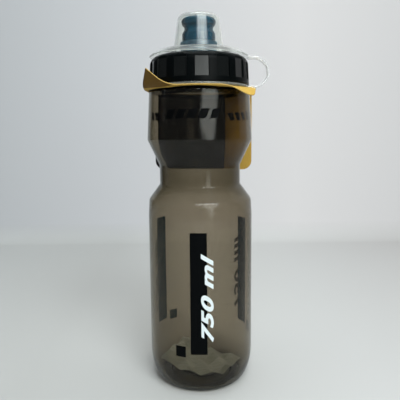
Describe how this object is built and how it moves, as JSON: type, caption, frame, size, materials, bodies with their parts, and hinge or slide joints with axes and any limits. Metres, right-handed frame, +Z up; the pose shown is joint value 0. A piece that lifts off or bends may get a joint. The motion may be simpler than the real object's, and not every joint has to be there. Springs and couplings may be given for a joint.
{
  "type": "bicycle water bottle",
  "caption": "Smoky translucent squeeze bottle with a waist, black screw cap, push-pull nozzle, tethered clear dust cover and a folded card hang tag.",
  "frame": {"origin": "middle of the flat pad under the foot, which is level with the foot ring", "axes": "+Z up along the bottle's axis, -Y is the front, +X is the side of the tether strap"},
  "size_m": [0.0852, 0.0789, 0.2553],
  "materials": {
    "smoky_plastic": "smoky grey-brown translucent blow-moulded polyethylene, satin",
    "kraft_card": "golden kraft card, dark printed on part of one side",
    "pale_paper": "thin uncoated paper, creased",
    "grey_silicone": "soft matte silicone",
    "black_plastic": "black moulded polypropylene, glossy",
    "frosted_plastic": "frosted translucent, satin",
    "natural_plastic": "natural white moulded plastic",
    "teal_plastic": "soft-touch dark teal",
    "black_rubber": "matte rubber",
    "clear_grey_plastic": "translucent grey-white",
    "clear_soft_plastic": "clear and flexible",
    "clear_plastic": "clear, glossy"
  },
  "bodies": {
    "bottle": {"bottle_shell": "smoky_plastic", "hang_tag": "kraft_card", "care_leaflet": "pale_paper"},
    "cap_seal": {"cap_gasket": "grey_silicone"},
    "cap": {"screw_cap": "black_plastic", "valve_housing": "frosted_plastic", "valve_core": "natural_plastic"},
    "mouthpiece": {"nozzle": "teal_plastic", "nozzle_o_ring": "black_rubber"},
    "neck_ring": {"tether_ring": "clear_grey_plastic"},
    "strap": {"tether_strap": "clear_soft_plastic"},
    "cover": {"dust_cover": "clear_plastic"}
  },
  "joints": [
    {"name": "cap_rise", "type": "slide", "parent": "bottle", "child": "cap_seal", "axis": [0, 0, 1], "range_m": [0, 0.018]},
    {"name": "cap_turn", "type": "hinge", "parent": "cap_seal", "child": "cap", "pos_m": [0, 0, 0.2242], "axis": [0, 0, 1], "range_deg": [0, 720]},
    {"name": "nozzle_push", "type": "slide", "parent": "cap", "child": "mouthpiece", "axis": [0, 0, 1], "range_m": [-0.004, 0]},
    {"name": "tether_swivel", "type": "hinge", "parent": "cap_seal", "child": "neck_ring", "pos_m": [0, 0, 0.2067], "axis": [0, 0, 1], "range_deg": [-100, 180]},
    {"name": "cover_lift", "type": "slide", "parent": "neck_ring", "child": "strap", "axis": [0, 0, 1], "range_m": [0, 0.0202], "deforming": ["tether_strap"]},
    {"name": "cover_flip", "type": "hinge", "parent": "strap", "child": "cover", "pos_m": [0.0343, 0, 0.227], "axis": [0, 1, 0], "range_deg": [0, 100]}
  ],
  "couplings": [
    {"joint": "cap_rise", "follows": "cap_turn", "m_per_rad": 0.0014324},
    {"joint": "cover_lift", "follows": "cover_flip", "m_per_rad": 0.0115}
  ]
}
